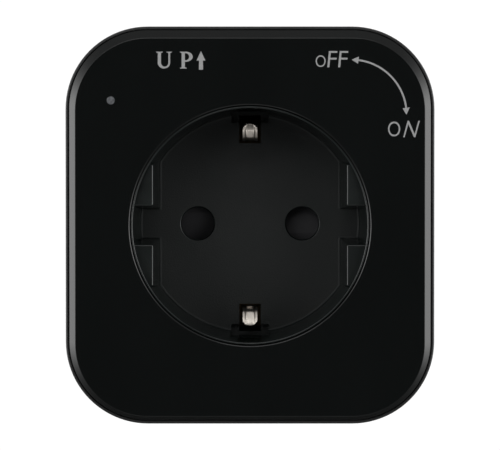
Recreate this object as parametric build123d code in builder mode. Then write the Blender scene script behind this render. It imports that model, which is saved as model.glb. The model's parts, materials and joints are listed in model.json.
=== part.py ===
from build123d import *
import os
from math import tan, radians, sqrt

# Quarter-turn track socket with a smart relay: one earthed two-pole outlet on a power-track adaptor.
# Frame, in millimetres: X to the right, Z up, +Y from the face into the track.
# y = 0 is the plane on which the seat rests against the track.
# Sizes called ..._depth are measured backwards from the flat of the face.

# ------------------------------------------------------------------ driving sizes
body_width = 65.0
body_height = 70.0
room_behind = 30.5  # from the recess floor to the track
corner_radius = 14.5
wall = 2.0
running_gap = 0.1  # between pieces that slide or turn on each other
fit_gap = 0.05  # between pieces that stay together

# case
rim_step = 0.65  # how far the face panel stands in from the case outline
rim_depth = 1.4
rim_round = 0.3
panel_gap = 0.2
panel_thick = 2.0
tape_thick = 0.2
tape_margin = 1.0
plate_thick = 2.0
split_depth = 18.0
lip_length = 1.2
lip_inset = 1.0
back_gap = 0.8  # the case clears the track by this
back_wall = 2.2
back_round = 2.5

# bevel around the face panel: wide at the top and narrow at the bottom
bevel_depth = 1.2
bevel_side = 1.1
bevel_top = 1.42
bevel_bottom = 0.72
bevel_round = 0.2

# screws that close the case
case_screw_inset_x = 10.0
case_screw_inset_z = 7.0
case_boss_radius = 3.25
case_tower_radius = 4.0
case_pilot_radius = 1.1
case_clear_radius = 1.5
case_head_radius = 2.6
case_head_height = 2.0
case_head_seat = 4.0  # thickness of tower under the head
case_screw_bite = 11.0
pilot_spare = 1.0

# small screws and the cross in every screw head
small_head_radius = 2.0
small_head_height = 1.3
small_pilot_spare = 0.5
cross_reach = 1.3
cross_width = 0.25

# socket
recess_depth = 17.5
recess_floor = 2.0
recess_radius = 19.85  # at the floor
recess_draft = 2.8  # degrees
cup_lip_depth = 0.15
cup_lip_wall = 0.35
cup_wall = 2.15
cup_shoulder = 0.2  # behind the plate
flange_depth = 10.0
flange_thick = 2.0
flange_width = 1.5
cup_screw_out = 4.163  # outside the cup
cup_boss_radius = 2.5
cup_pilot_radius = 0.85
cup_pilot_deep = 4.5
screw_hole_gap = 0.3
guide_flat = 17.05  # half the width between the guide blocks, at their front
guide_half_height = 10.7
guide_notch = 3.4
guide_front_depth = 1.5

# plug pins
pin_spacing = 19.0
pin_hole_radius = 2.95
pin_hole_round = 0.35
pin_length = 19.0

# earth contacts
clip_width = 3.0
clip_channel = 1.6
clip_thick = 0.5
clip_flank_extra = 0.15
clip_tip_in = 2.15  # the strip's middle, in from the recess wall
clip_tip_depth = 5.5
clip_crest_in = 4.65
clip_crest_depth = 9.5
clip_knee_in = 2.1
clip_knee_depth = 15.0
clip_foot_gap = 0.15  # from the strap, so that the foot can lean
clip_bend = 1.0
slot_half = 1.95
slot_inner_in = 5.25  # in from the recess wall
slot_tee_half = 3.4
slot_tee_deep = 1.2  # the arms of the tee are blind
slot_tee_bite = 0.45  # into the wall
slot_tee_in = 1.55
slot_pocket_depth = 8.0
slot_pocket_bite = 1.15

# shutter
shutter_gap = 0.2
shutter_hub_radius = 4.0
shutter_wing_radius = 3.6
shutter_arm_half = 2.5
shutter_plate = 1.7
shutter_thick = 2.8
ramp_low = 1.0
ramp_start = 1.8
pivot_radius = 1.5
spring_wire = 0.2
spring_radius = 2.4
spring_leg = 6.0
spring_stub_x = 5.0
spring_stub_radius = 0.55

# contact carrier
carrier_space = 3.5  # behind the recess floor, for the shutter
carrier_plate = 2.0
carrier_radius = 14.2
carrier_screw_at = 11.7
carrier_ear = 2.7
carrier_post_radius = 2.2
carrier_pilot_radius = 0.8
carrier_pilot_deep = 3.0
tower_radius = 5.2
tower_bore = 3.9
entry_radius = 2.9
sleeve_outer = 3.15
sleeve_inner = 2.35
sleeve_slit = 0.8
sleeve_root = 3.0
sleeve_start = 0.3
sleeve_spare = 0.7  # past the end of a plug pin
ring_wall = 0.5
ring_length = 2.0
ring_at = 3.0
ring_opening = 2.0

# conductors
strip_thick = 0.8
strip_half = 1.6
strap_half = 2.5
strap_in = 0.85  # in from the recess wall
conductor_at = 2.7
bar_half = 2.5
bar_end = 3.0
load_tab_out = 4.7  # outside the tower
load_tab_half = 1.5
lead_radius = 0.6

# control board
board_gap = 0.8
board_thick = 1.6
board_side_gap = 1.5
board_corner = 3.0
board_tower_gap = 0.4
board_window = 6.0
board_hole_radius = 1.1
board_screw = (25.0, 14.0)
board_post_radius = 2.5
board_pilot_radius = 0.85
board_head_radius = 2.0
board_head_height = 1.4
board_screw_length = 3.4
solder_reach = 0.6
led_at = (-24.45, 21.97)
led_side = 3.0
led_height = 1.5
led_air = 0.5
pipe_radius = 1.5
pipe_tip_radius = 0.7
pipe_collar_radius = 2.3
pipe_collar_length = 4.0

# what the board carries: centre across the board, then width, height and how far it stands off
relay_at = (11.9, 17.8)
relay_size = (17.8, 10.1, 12.0)
film_at = (-13.5, -17.0)
film_size = (13.0, 6.0, 10.0)
transformer_at = (7.8, -16.5)
transformer_size = (9.0, 9.0, 10.0)
bobbin_margin = 1.5
radio_at = (17.6, -15.0)
radio_size = (8.8, 15.0, 2.6)
radio_board = 0.8
radio_margin = 0.5
radio_aerial = 3.0
capacitor_at = (-10.0, 17.0)
capacitor_radius = 4.0
capacitor_height = 11.5
fuse_x = -24.0
fuse_radius = 2.6
fuse_half = 8.0
component_edge = 0.4
live_lead_turn_z = 14.0
load_lead_lift = 2.0
load_lead_from = 5.0
load_lead_gap = 1.3  # from the tower to the middle of the lead
load_lead_z = 9.5
lead_bend = 1.2

# seat, turret and stops
seat_radius = 22.0
seat_thick = 3.2
seat_side_gap = 0.3
seat_face_gap = 0.2
seat_disc_rim = 2.2
tongue_from = 6.5
tongue_to = 15.0
tongue_half = 4.7
tongue_height = 2.2
tongue_corner = 1.0
stop_radius = 16.0
stop_pin_radius = 1.5
stop_pin_length = 2.2
stop_slot_deep = 2.2
turn_angle = 90.0
stop_start = 45.0
detent_start = 225.0
detent_deep = 0.9
detent_pin_length = 4.6
detent_pin_nose = 0.5
detent_leaf_half = 6.0
detent_leaf_rise = 1.3
detent_leaf_width = 3.0
detent_leaf_thick = 0.3
neck_radius = 4.7
neck_spare = 0.4
stem_radius = 4.2
stem_flat = 3.4
stem_reach = 3.4  # past the inside of the back wall
clip_groove_radius = 3.6
clip_plate = 1.0
clip_outer = 7.0
head_width = 9.0
head_height = 27.0
head_length = 10.0
head_corner = 2.0
head_edge = 0.6
blade_stand_out = 2.2
blade_from_head = 1.9
blade_length = 4.0
earth_stand_out = 1.2

# ------------------------------------------------------------------ sizes that follow
body_depth = recess_depth + room_behind
inner_width = body_width - 2 * wall
panel_width = body_width - 2 * rim_step
panel_height = body_height - 2 * rim_step
panel_corner = corner_radius - rim_step
flat_width = panel_width - 2 * bevel_side
flat_height = panel_height - bevel_top - bevel_bottom
flat_shift = (bevel_bottom - bevel_top) / 2
plate_front = panel_thick + tape_thick
plate_back = plate_front + plate_thick
case_screw_x = body_width / 2 - case_screw_inset_x
case_screw_z = body_height / 2 - case_screw_inset_z

recess_slope = tan(radians(recess_draft))
cup_lip_inner = recess_radius + (recess_depth - cup_lip_depth) * recess_slope
cup_lip_outer = cup_lip_inner + cup_lip_wall
cup_outer = recess_radius + cup_wall
panel_hole = cup_lip_outer + panel_gap
plate_hole = panel_hole + panel_gap
guide_front_radius = recess_radius + (recess_depth - guide_front_depth) * recess_slope
cup_screw_at = (cup_outer + cup_screw_out) / sqrt(2)
slot_inner = recess_radius - slot_inner_in
slot_tee_from = recess_radius - slot_tee_in
slot_pocket_to = recess_radius + slot_pocket_bite
slot_tee_to = recess_radius + slot_tee_bite
strap_reach = recess_radius - strap_in
clip_crest = recess_radius - clip_crest_in
clip_knee = recess_radius - clip_knee_in
floor_back = recess_depth + recess_floor

shutter_depth = floor_back + shutter_gap
carrier_depth = floor_back + carrier_space
strap_depth = carrier_depth + carrier_plate
sleeve_depth = strap_depth + sleeve_start
bar_depth = recess_depth + pin_length + sleeve_spare
board_depth = bar_depth + strip_thick + board_gap
board_back = board_depth + board_thick
clip_foot_depth = strap_depth - clip_foot_gap - clip_thick / 2 - clip_flank_extra

back_face_y = -back_gap
back_inside_y = -back_gap - back_wall
pocket_y = -seat_thick - seat_face_gap
disc_y = pocket_y - back_wall
neck_end_y = tongue_height + neck_spare
head_end_y = neck_end_y + head_length
stem_end_y = disc_y - stem_reach
groove_y = disc_y - fit_gap - clip_plate
board_half_width = inner_width / 2 - board_side_gap
board_half_height = case_screw_z - case_tower_radius - board_tower_gap
pin_x = pin_spacing / 2
load_lead_to = -(pin_x + tower_radius + load_lead_gap)
load_tab_at = pin_x + tower_radius + load_tab_out


# ------------------------------------------------------------------ planes and places
def across(y):
    """The plane across the body at this y, X to the right and Z up; a negative extrude goes back."""
    return Plane.XZ.offset(-y)


def y_of(depth):
    """The y of a depth measured from the face."""
    return depth - body_depth


def behind(depth):
    """The plane across the body at this depth behind the face."""
    return across(y_of(depth))


def case_outline(inset, mode=Mode.ADD):
    """The outline of the case, drawn in by this much all round."""
    return RectangleRounded(
        body_width - 2 * inset, body_height - 2 * inset, corner_radius - inset, mode=mode
    )


def corners(x, z):
    """The four places at plus and minus x and z."""
    return GridLocations(2 * x, 2 * z, 2, 2)


def recess_outline(depth):
    """The recess at this depth: its round wall, less the four guide blocks."""
    draw_in = (depth - guide_front_depth) * recess_slope
    flat = guide_flat - draw_in
    notch = guide_notch - draw_in
    Circle(guide_front_radius - draw_in)
    with corners((flat + cup_outer) / 2, (notch + guide_half_height) / 2):
        Rectangle(cup_outer - flat, guide_half_height - notch, mode=Mode.SUBTRACT)


def rims(part, radius, y):
    """The full circles of this radius that lie at this y."""
    circles = part.edges().filter_by(GeomType.CIRCLE)
    return circles.filter_by(lambda e: abs(e.radius - radius) < 0.01 and abs(e.arc_center.Y - y) < 0.01)


def save(piece, name):
    """Label a finished piece and write its file."""
    piece.part.label = name
    export_step(piece.part, f"parts/{name}.step")


os.makedirs("parts", exist_ok=True)

# ------------------------------------------------------------------ face panel
with BuildPart() as face_panel:
    with BuildSketch(behind(bevel_depth)):
        RectangleRounded(panel_width, panel_height, panel_corner)
    with BuildSketch(behind(0)):
        with Locations((0, flat_shift)):
            RectangleRounded(flat_width, flat_height, panel_corner - bevel_side)
    loft(ruled=True)
    with BuildSketch(behind(bevel_depth)):
        RectangleRounded(panel_width, panel_height, panel_corner)
    extrude(amount=bevel_depth - panel_thick)
    fillet(face_panel.edges().group_by(Axis.Y)[0], bevel_round)
    with BuildSketch(behind(0)):
        Circle(panel_hole)
        with Locations(led_at):
            Circle(pipe_tip_radius + fit_gap)
    extrude(amount=-panel_thick, mode=Mode.SUBTRACT)
    fillet(rims(face_panel, panel_hole, y_of(0)), bevel_round)
save(face_panel, "face_panel")

with BuildPart() as panel_tape:
    with BuildSketch(behind(panel_thick)):
        case_outline(wall)
        Circle(panel_hole + tape_margin, mode=Mode.SUBTRACT)
        with Locations(led_at):
            Circle(pipe_radius, mode=Mode.SUBTRACT)
    extrude(amount=-tape_thick)
save(panel_tape, "panel_tape")

# ------------------------------------------------------------------ front shell
with BuildPart() as front_shell:
    with BuildSketch(behind(rim_depth)):
        case_outline(0)
    extrude(amount=rim_depth - split_depth)
    fillet(front_shell.edges().group_by(Axis.Y)[0], rim_round)
    with BuildSketch(behind(rim_depth)):
        case_outline(rim_step - panel_gap)
    extrude(amount=rim_depth - plate_front, mode=Mode.SUBTRACT)
    with BuildSketch(behind(plate_back)):
        case_outline(wall)
    extrude(amount=plate_back - split_depth, mode=Mode.SUBTRACT)
    # tongue that enters the rear shell
    with BuildSketch(behind(split_depth)):
        case_outline(lip_inset + fit_gap)
        case_outline(wall, mode=Mode.SUBTRACT)
    extrude(amount=-lip_length)
    # bosses for the case screws, the cup screws and the light pipe
    with BuildSketch(behind(plate_back)):
        with corners(case_screw_x, case_screw_z):
            Circle(case_boss_radius)
    extrude(amount=plate_back - split_depth)
    with BuildSketch(behind(plate_back)):
        with corners(cup_screw_at, cup_screw_at):
            Circle(cup_boss_radius)
    extrude(amount=plate_back - flange_depth)
    with BuildSketch(behind(plate_back)):
        with Locations(led_at):
            Circle(pipe_collar_radius)
    extrude(amount=-pipe_collar_length)
    with BuildSketch(behind(split_depth)):
        with corners(case_screw_x, case_screw_z):
            Circle(case_pilot_radius)
    extrude(amount=case_screw_bite + pilot_spare, mode=Mode.SUBTRACT)
    with BuildSketch(behind(flange_depth)):
        with corners(cup_screw_at, cup_screw_at):
            Circle(cup_pilot_radius)
    extrude(amount=cup_pilot_deep, mode=Mode.SUBTRACT)
    with BuildSketch(behind(plate_back + pipe_collar_length)):
        with Locations(led_at):
            Circle(pipe_radius + fit_gap)
    extrude(amount=pipe_collar_length, mode=Mode.SUBTRACT)
    with BuildSketch(behind(plate_front)):
        Circle(plate_hole)
        with Locations(led_at):
            Circle(pipe_tip_radius + fit_gap)
    extrude(amount=-plate_thick, mode=Mode.SUBTRACT)
save(front_shell, "front_shell")

# ------------------------------------------------------------------ rear shell
with BuildPart() as rear_shell:
    with BuildSketch(behind(split_depth)):
        case_outline(0)
    extrude(amount=y_of(split_depth) - back_face_y)
    fillet(rear_shell.edges().group_by(Axis.Y)[-1], back_round)
    with BuildSketch(behind(split_depth)):
        case_outline(wall)
    extrude(amount=y_of(split_depth) - back_inside_y, mode=Mode.SUBTRACT)
    # raised disc inside the back wall, with the seat's pocket behind it
    with BuildSketch(across(disc_y)):
        Circle(seat_radius + seat_side_gap + seat_disc_rim)
    extrude(amount=disc_y - back_inside_y)
    with BuildSketch(across(back_face_y)):
        Circle(seat_radius + seat_side_gap)
    extrude(amount=back_face_y - pocket_y, mode=Mode.SUBTRACT)
    with BuildSketch(across(pocket_y)):
        with PolarLocations(stop_radius, 1, start_angle=stop_start):
            Circle(stop_pin_radius)
    extrude(amount=-stop_pin_length)
    # double-D hole for the turret stem, and the detent pin's guide
    with BuildSketch(across(disc_y)):
        Circle(stem_radius + fit_gap)
        Rectangle(4 * stem_radius, 2 * (stem_flat + fit_gap), mode=Mode.INTERSECT)
        with PolarLocations(stop_radius, 1, start_angle=detent_start):
            Circle(stop_pin_radius + fit_gap)
    extrude(amount=disc_y - pocket_y, mode=Mode.SUBTRACT)
    # towers for the case screws
    with BuildSketch(behind(split_depth)):
        with corners(case_screw_x, case_screw_z):
            Circle(case_tower_radius)
    extrude(amount=y_of(split_depth) - back_inside_y)
    with BuildSketch(behind(split_depth)):
        with corners(case_screw_x, case_screw_z):
            Circle(case_clear_radius)
    extrude(amount=-case_head_seat, mode=Mode.SUBTRACT)
    with BuildSketch(behind(split_depth + case_head_seat)):
        with corners(case_screw_x, case_screw_z):
            Circle(case_head_radius + running_gap)
    extrude(amount=y_of(split_depth + case_head_seat), mode=Mode.SUBTRACT)
    # groove for the front shell's tongue
    with BuildSketch(behind(split_depth)):
        case_outline(lip_inset)
        case_outline(wall + running_gap, mode=Mode.SUBTRACT)
    extrude(amount=-lip_length - running_gap, mode=Mode.SUBTRACT)
    # posts for the control board
    with BuildSketch(behind(board_back)):
        with corners(*board_screw):
            Circle(board_post_radius)
            Circle(board_pilot_radius, mode=Mode.SUBTRACT)
    extrude(amount=y_of(board_back) - back_inside_y)
save(rear_shell, "rear_shell")

# ------------------------------------------------------------------ socket cup
with BuildPart() as socket_cup:
    with BuildSketch(Plane.XY):
        with BuildLine():
            Polyline(
                (0, y_of(cup_lip_depth)),
                (cup_lip_outer, y_of(cup_lip_depth)),
                (cup_lip_outer, y_of(plate_back + cup_shoulder)),
                (cup_outer, y_of(plate_back + cup_shoulder)),
                (cup_outer, y_of(floor_back)),
                (0, y_of(floor_back)),
                close=True,
            )
        make_face()
    revolve(axis=Axis.Y)
    # flange with four screw ears
    with BuildSketch(behind(flange_depth)):
        Circle(cup_outer + flange_width)
        with Locations(Location((0, 0), 45), Location((0, 0), -45)):
            SlotCenterToCenter(2 * sqrt(2) * cup_screw_at, 2 * cup_boss_radius)
        with corners(cup_screw_at, cup_screw_at):
            Circle(cup_pilot_radius + screw_hole_gap, mode=Mode.SUBTRACT)
    extrude(amount=-flange_thick)
    # the recess, drafted, with the four guide blocks left standing
    with BuildSketch(behind(cup_lip_depth)):
        Circle(cup_lip_inner)
    with BuildSketch(behind(guide_front_depth)):
        Circle(guide_front_radius)
    loft(ruled=True, mode=Mode.SUBTRACT)
    for depth in (guide_front_depth, recess_depth):
        with BuildSketch(behind(depth)):
            recess_outline(depth)
    loft(ruled=True, mode=Mode.SUBTRACT)
    # openings for the earth clips, through the floor and up the wall
    with BuildSketch(behind(recess_depth)):
        with Locations((0, (slot_inner + recess_radius) / 2), (0, -(slot_inner + recess_radius) / 2)):
            Rectangle(2 * slot_half, recess_radius - slot_inner)
        Circle(recess_radius, mode=Mode.INTERSECT)
    extrude(amount=-recess_floor, mode=Mode.SUBTRACT)
    for half, reach, depth in (
        (slot_half, slot_pocket_to, recess_depth),
        (slot_tee_half, slot_tee_to, recess_depth + slot_tee_deep),
    ):
        with BuildSketch(behind(slot_pocket_depth)):
            with Locations((0, (slot_tee_from + reach) / 2), (0, -(slot_tee_from + reach) / 2)):
                Rectangle(2 * half, reach - slot_tee_from)
        extrude(amount=slot_pocket_depth - depth, mode=Mode.SUBTRACT)
    # pin holes
    with BuildSketch(behind(recess_depth)):
        with Locations((-pin_x, 0), (pin_x, 0)):
            Circle(pin_hole_radius)
    extrude(amount=-recess_floor, mode=Mode.SUBTRACT)
    fillet(rims(socket_cup, pin_hole_radius, y_of(recess_depth)), pin_hole_round)
    # posts for the contact carrier and the shutter's pivot
    with BuildSketch(behind(floor_back)):
        with corners(carrier_screw_at, carrier_screw_at):
            Circle(carrier_post_radius)
            Circle(carrier_pilot_radius, mode=Mode.SUBTRACT)
    extrude(amount=floor_back - carrier_depth)
    with BuildSketch(behind(floor_back)):
        Circle(pivot_radius)
    extrude(amount=floor_back - carrier_depth + running_gap)
save(socket_cup, "socket_cup")

# ------------------------------------------------------------------ pin shutter and its spring
with BuildPart() as pin_shutter:
    with BuildSketch(behind(shutter_depth)):
        Circle(shutter_hub_radius)
        Rectangle(2 * pin_x, 2 * shutter_arm_half)
        with Locations((-pin_x, 0), (pin_x, 0)):
            Circle(shutter_wing_radius)
        Circle(pivot_radius + running_gap, mode=Mode.SUBTRACT)
    extrude(amount=-shutter_plate)
    with BuildSketch(behind(shutter_depth)):
        with Locations((-pin_x, 0), (pin_x, 0)):
            Circle(shutter_wing_radius)
    extrude(amount=-shutter_thick)
    with BuildSketch(behind(shutter_depth + shutter_plate)):
        with Locations((spring_stub_x, spring_stub_radius + spring_wire + fit_gap - spring_radius)):
            Circle(spring_stub_radius)
    extrude(amount=shutter_plate - shutter_thick)
    # each wing has a ramp, so that two pins pushed in together turn the shutter
    for side in (1, -1):
        with BuildSketch(Plane.YZ.offset(side * (pin_x - shutter_wing_radius))):
            with BuildLine():
                Polyline(
                    (y_of(shutter_depth), -side * ramp_start),
                    (y_of(shutter_depth + ramp_low), side * shutter_wing_radius),
                    (y_of(shutter_depth), side * shutter_wing_radius),
                    close=True,
                )
            make_face()
        extrude(amount=side * 2 * shutter_wing_radius, mode=Mode.SUBTRACT)
save(pin_shutter, "pin_shutter")

with BuildPart() as shutter_spring:
    with BuildLine(behind(shutter_depth + shutter_plate + 2 * spring_wire)) as spring_path:
        Line((spring_leg, -spring_radius), (0, -spring_radius))
        ThreePointArc((0, -spring_radius), (-spring_radius, 0), (0, spring_radius))
        Line((0, spring_radius), (spring_leg, spring_radius))
    with BuildSketch(Plane(spring_path.line @ 0, z_dir=spring_path.line % 0)):
        Circle(spring_wire)
    sweep(path=spring_path.line)
save(shutter_spring, "shutter_spring")

# ------------------------------------------------------------------ contact carrier
with BuildPart() as contact_carrier:
    with BuildSketch(behind(carrier_depth)):
        Circle(carrier_radius)
        with Locations(Location((0, 0), 45), Location((0, 0), -45)):
            SlotCenterToCenter(2 * sqrt(2) * carrier_screw_at, 2 * carrier_ear)
        with corners(carrier_screw_at, carrier_screw_at):
            Circle(carrier_pilot_radius + screw_hole_gap, mode=Mode.SUBTRACT)
    extrude(amount=-carrier_plate)
    with BuildSketch(behind(strap_depth)):
        with Locations((-pin_x, 0), (pin_x, 0)):
            Circle(tower_radius)
    extrude(amount=strap_depth - bar_depth)
    with BuildSketch(behind(carrier_depth)):
        with Locations((-pin_x, 0), (pin_x, 0)):
            Circle(entry_radius)
    extrude(amount=carrier_depth - sleeve_depth, mode=Mode.SUBTRACT)
    with BuildSketch(behind(sleeve_depth)):
        with Locations((-pin_x, 0), (pin_x, 0)):
            Circle(tower_bore)
    extrude(amount=sleeve_depth - bar_depth, mode=Mode.SUBTRACT)
    # stub that holds the fixed leg of the shutter spring
    with BuildSketch(behind(carrier_depth)):
        with Locations((spring_stub_x, spring_radius - spring_stub_radius - spring_wire - fit_gap)):
            Circle(spring_stub_radius)
    extrude(amount=carrier_depth - shutter_depth - shutter_plate - running_gap)
save(contact_carrier, "contact_carrier")

# ------------------------------------------------------------------ sleeves, their rings and the bars
for name, x in (("live_sleeve", -pin_x), ("neutral_sleeve", pin_x)):
    with BuildPart() as sleeve:
        with BuildSketch(behind(sleeve_depth)):
            with Locations((x, 0)):
                Circle(sleeve_outer)
                Circle(sleeve_inner, mode=Mode.SUBTRACT)
        extrude(amount=sleeve_depth - bar_depth)
        with BuildSketch(behind(sleeve_depth)):
            with Locations((x, 0)):
                Rectangle(sleeve_slit, 2 * tower_bore)
        extrude(amount=sleeve_depth - bar_depth + sleeve_root, mode=Mode.SUBTRACT)
    save(sleeve, name)

with BuildPart() as sleeve_springs:
    with BuildSketch(behind(sleeve_depth + ring_at)):
        with Locations((-pin_x, 0), (pin_x, 0)):
            Circle(sleeve_outer + fit_gap + ring_wall)
            Circle(sleeve_outer + fit_gap, mode=Mode.SUBTRACT)
        with Locations((-pin_x, tower_bore / 2), (pin_x, tower_bore / 2)):
            Rectangle(ring_opening, tower_bore, mode=Mode.SUBTRACT)
    extrude(amount=-ring_length)
save(sleeve_springs, "sleeve_springs")

with BuildPart() as neutral_bar:
    with BuildSketch(behind(bar_depth)):
        bar_from = conductor_at - strip_thick
        bar_to = pin_x + bar_end
        with Locations(((bar_from + bar_to) / 2, 0)):
            Rectangle(bar_to - bar_from, 2 * bar_half)
    extrude(amount=-strip_thick)
save(neutral_bar, "neutral_bar")

with BuildPart() as live_bar:
    with BuildSketch(behind(bar_depth)):
        bar_from = -load_tab_at
        bar_to = bar_end - pin_x
        with Locations(((bar_from + bar_to) / 2, 0)):
            Rectangle(bar_to - bar_from, 2 * bar_half)
    extrude(amount=-strip_thick)
    with BuildSketch(behind(bar_depth)):
        with Locations((strip_thick / 2 - load_tab_at, 0)):
            Rectangle(strip_thick, 2 * load_tab_half)
    extrude(amount=bar_depth - board_back - solder_reach)
save(live_bar, "live_bar")

# ------------------------------------------------------------------ earth strap and clips
with BuildPart() as earth_strap:
    with BuildSketch(behind(strap_depth)):
        Rectangle(2 * strap_half, 2 * strap_reach)
    extrude(amount=-strip_thick)
save(earth_strap, "earth_strap")

for name, side in (("earth_clip_top", 1), ("earth_clip_bottom", -1)):
    with BuildPart() as earth_clip:
        for half_thick, x_from, x_to in (
            (clip_thick / 2, -clip_width / 2, clip_width / 2),
            (clip_thick / 2 + clip_flank_extra, clip_channel / 2, clip_width / 2),
            (clip_thick / 2 + clip_flank_extra, -clip_width / 2, -clip_channel / 2),
        ):
            with BuildSketch(Plane.YZ.offset(x_from)):
                with BuildLine():
                    FilletPolyline(
                        (y_of(clip_tip_depth), side * (recess_radius - clip_tip_in)),
                        (y_of(clip_crest_depth), side * clip_crest),
                        (y_of(clip_knee_depth), side * clip_knee),
                        (y_of(clip_foot_depth), side * clip_knee),
                        (y_of(clip_foot_depth), side * clip_crest),
                        radius=clip_bend,
                    )
                    offset(amount=half_thick, side=Side.BOTH)
                make_face()
            extrude(amount=x_to - x_from)
    save(earth_clip, name)

# ------------------------------------------------------------------ turret and its conductors
with BuildPart() as contact_turret:
    with BuildSketch(across(stem_end_y)):
        Circle(stem_radius)
        Rectangle(4 * stem_radius, 2 * stem_flat, mode=Mode.INTERSECT)
    extrude(amount=stem_end_y - pocket_y)
    with BuildSketch(across(pocket_y)):
        Circle(neck_radius)
    extrude(amount=pocket_y - neck_end_y)
    with BuildSketch(across(neck_end_y)):
        RectangleRounded(head_width, head_height, head_corner)
    extrude(amount=-head_length)
    chamfer(contact_turret.edges().group_by(Axis.Y)[-1], head_edge)
    # groove for the clip
    with BuildSketch(across(groove_y)):
        Circle(2 * stem_radius)
        Circle(clip_groove_radius, mode=Mode.SUBTRACT)
    extrude(amount=-clip_plate - fit_gap, mode=Mode.SUBTRACT)
    # channels for the three conductors
    with BuildSketch(across(stem_end_y)):
        with Locations((-conductor_at, 0), (conductor_at, 0)):
            Rectangle(strip_thick + 2 * fit_gap, 2 * (strip_half + fit_gap))
    extrude(amount=stem_end_y - neck_end_y - blade_from_head - blade_length - fit_gap, mode=Mode.SUBTRACT)
    with BuildSketch(across(stem_end_y)):
        Rectangle(strip_thick + 2 * fit_gap, 2 * (strip_half + fit_gap))
    extrude(amount=stem_end_y - head_end_y, mode=Mode.SUBTRACT)
    for side in (1, -1):
        with BuildSketch(across(neck_end_y + blade_from_head - fit_gap)):
            with Locations((-side * conductor_at, side * head_height / 2)):
                Rectangle(strip_thick + 2 * fit_gap, head_height + 2 * (strip_half + fit_gap))
        extrude(amount=-blade_length - 2 * fit_gap, mode=Mode.SUBTRACT)
save(contact_turret, "contact_turret")

for name, side in (("live_blade", 1), ("neutral_blade", -1)):
    with BuildPart() as blade:
        with BuildSketch(behind(bar_depth + strip_thick)):
            with Locations((-side * conductor_at, 0)):
                Rectangle(strip_thick, 2 * strip_half)
        extrude(amount=y_of(bar_depth + strip_thick) - neck_end_y - blade_from_head - blade_length)
        with BuildSketch(across(neck_end_y + blade_from_head)):
            blade_tip = head_height / 2 + blade_stand_out
            with Locations((-side * conductor_at, side * (blade_tip - strip_half) / 2)):
                Rectangle(strip_thick, blade_tip + strip_half)
        extrude(amount=-blade_length)
    save(blade, name)

with BuildPart() as earth_blade:
    with BuildSketch(behind(strap_depth + strip_thick)):
        Rectangle(strip_thick, 2 * strip_half)
    extrude(amount=y_of(strap_depth + strip_thick) - head_end_y - earth_stand_out)
save(earth_blade, "earth_blade")

with BuildPart() as turret_clip:
    with BuildSketch(across(groove_y + fit_gap)):
        Circle(clip_outer)
        Circle(clip_groove_radius + fit_gap, mode=Mode.SUBTRACT)
        with Locations((0, -clip_outer / 2)):
            Rectangle(2 * (clip_groove_radius + fit_gap), clip_outer, mode=Mode.SUBTRACT)
    extrude(amount=-clip_plate + fit_gap)
save(turret_clip, "turret_clip")

# ------------------------------------------------------------------ seat that stays with the track
with BuildPart() as track_seat:
    with BuildSketch(across(-seat_thick)):
        Circle(seat_radius)
        Circle(neck_radius + running_gap, mode=Mode.SUBTRACT)
    extrude(amount=-seat_thick)
    with BuildSketch(across(0)):
        tongue_length = tongue_to - tongue_from
        with Locations((tongue_from + tongue_length / 2, 0), (-tongue_from - tongue_length / 2, 0)):
            RectangleRounded(tongue_length, 2 * tongue_half, tongue_corner)
    extrude(amount=-tongue_height)
    with BuildSketch(across(-seat_thick)):
        with BuildLine():
            stop_arc = CenterArc((0, 0), stop_radius, stop_start, turn_angle)
        SlotArc(stop_arc, 2 * (stop_pin_radius + running_gap))
    extrude(amount=-stop_slot_deep, mode=Mode.SUBTRACT)
    with BuildSketch(across(-seat_thick)):
        with BuildLine():
            detent_arc = CenterArc((0, 0), stop_radius, detent_start, turn_angle)
        SlotArc(detent_arc, 2 * (stop_pin_radius + running_gap))
    extrude(amount=-detent_deep, mode=Mode.SUBTRACT)
save(track_seat, "track_seat")

with BuildPart() as detent_pin:
    detent_tip_y = detent_deep - seat_thick - running_gap
    with BuildSketch(across(detent_tip_y)):
        with PolarLocations(stop_radius, 1, start_angle=detent_start):
            Circle(stop_pin_radius)
    extrude(amount=detent_pin_length)
    fillet(detent_pin.edges().group_by(Axis.Y)[-1], detent_pin_nose)
save(detent_pin, "detent_pin")

with BuildPart() as detent_leaf:
    detent_x = -stop_radius / sqrt(2)
    leaf_top_y = detent_tip_y - detent_pin_length - detent_leaf_thick / 2
    leaf_foot_y = leaf_top_y + detent_leaf_rise
    with BuildSketch(Plane.XY.offset(detent_x - detent_leaf_width / 2)):
        with BuildLine():
            Polyline(
                (detent_x - detent_leaf_half, leaf_foot_y),
                (detent_x - detent_leaf_half / 3, leaf_top_y),
                (detent_x + detent_leaf_half / 3, leaf_top_y),
                (detent_x + detent_leaf_half, leaf_foot_y),
            )
            offset(amount=detent_leaf_thick / 2, side=Side.BOTH)
        make_face()
    extrude(amount=detent_leaf_width)
save(detent_leaf, "detent_leaf")

# ------------------------------------------------------------------ control board and what it carries
with BuildPart() as control_board:
    with BuildSketch(behind(board_depth)):
        RectangleRounded(2 * board_half_width, 2 * board_half_height, board_corner)
        Circle(board_window, mode=Mode.SUBTRACT)
        with corners(*board_screw):
            Circle(board_hole_radius, mode=Mode.SUBTRACT)
        with Locations((strip_thick / 2 - load_tab_at, 0)):
            Rectangle(strip_thick + 2 * running_gap, 2 * (load_tab_half + running_gap), mode=Mode.SUBTRACT)
    extrude(amount=-board_thick)
save(control_board, "control_board")

for name, (x, z), (width, height, stand) in (
    ("relay", relay_at, relay_size),
    ("film_capacitor", film_at, film_size),
    ("status_led", led_at, (led_side, led_side, led_height)),
):
    with BuildPart() as component:
        with BuildSketch(behind(board_depth)):
            with Locations((x, z)):
                Rectangle(width, height)
        extrude(amount=stand)
        chamfer(component.edges().group_by(Axis.Y)[0], component_edge)
    save(component, name)

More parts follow.
